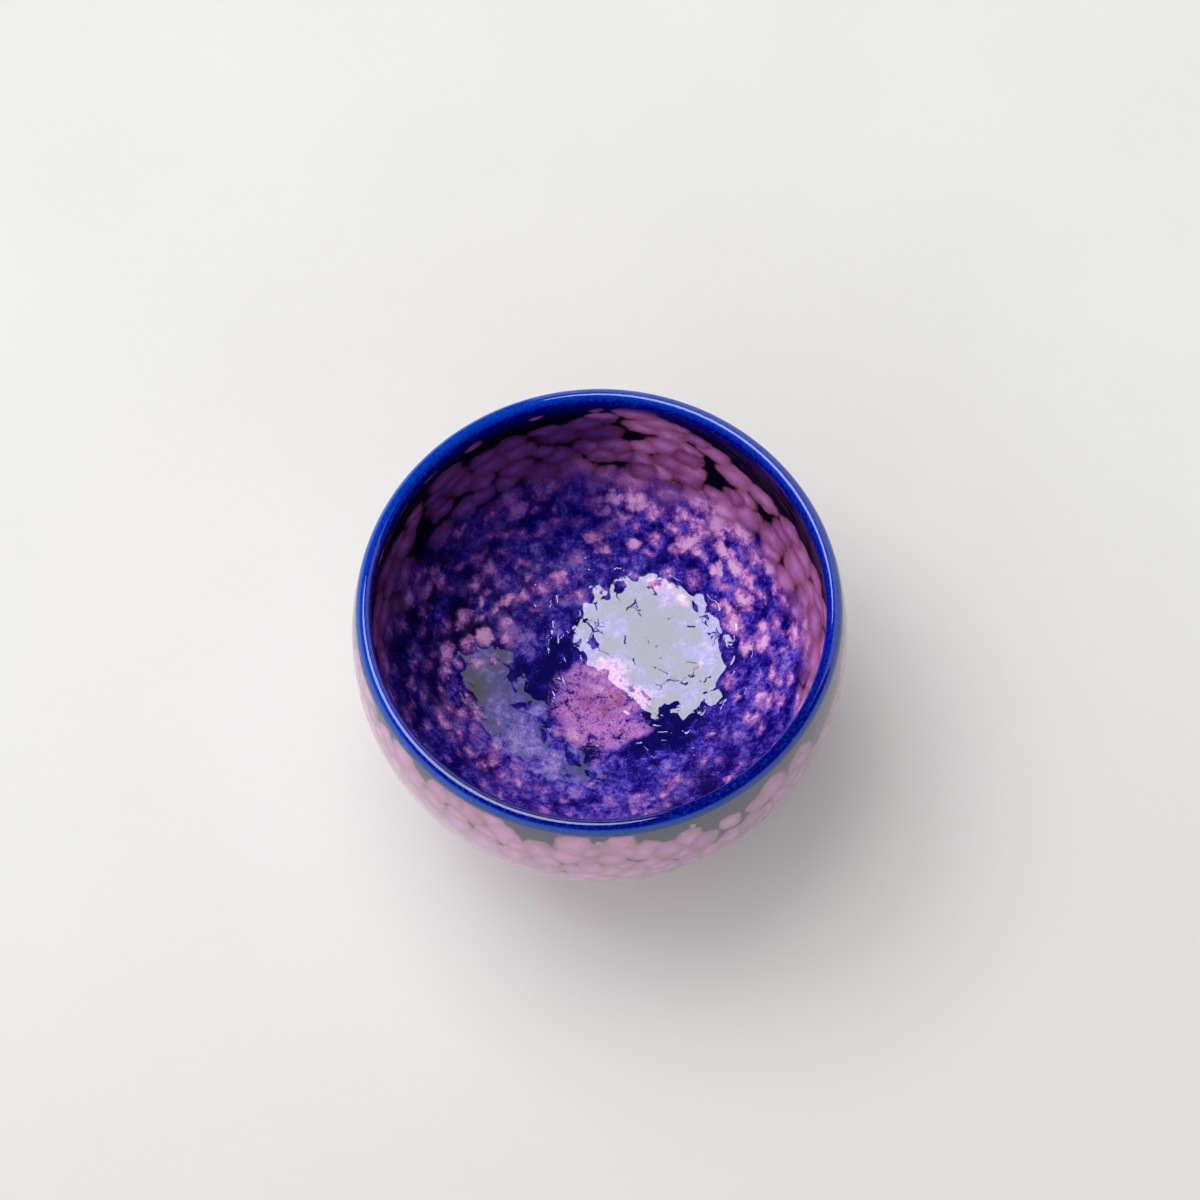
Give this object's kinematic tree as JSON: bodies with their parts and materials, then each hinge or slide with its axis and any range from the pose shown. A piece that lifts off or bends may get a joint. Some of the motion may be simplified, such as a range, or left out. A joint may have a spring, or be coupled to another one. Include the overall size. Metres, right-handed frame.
{
  "type": "sake cup",
  "caption": "Round porcelain sake cup on a turned foot ring, with a blue lip and a navy glaze dappled with raised pink drops.",
  "frame": {"origin": "centre of the foot ring on the plane that it stands on", "axes": "+Z is the cup's turning axis, up through the open lip; X and Y are alike, because the cup is round"},
  "size_m": [0.0642, 0.0642, 0.0431],
  "materials": {
    "clay": "fired porcelain, unglazed and fine-grained",
    "navy_glaze": "deep glossy glaze",
    "cobalt_glaze": "glossy translucent glaze, paler where it thins on the edge",
    "pink_glaze": "glossy glaze drops with brown edges"
  },
  "bodies": {
    "root": {"clay_bowl": "clay", "foot_ring": "clay", "inner_glaze": "navy_glaze", "outer_glaze": "navy_glaze", "rim_glaze": "cobalt_glaze", "well_glaze": "navy_glaze", "centre_pool": "pink_glaze", "inner_drops": "pink_glaze", "outer_drops": "pink_glaze"}
  },
  "joints": []
}
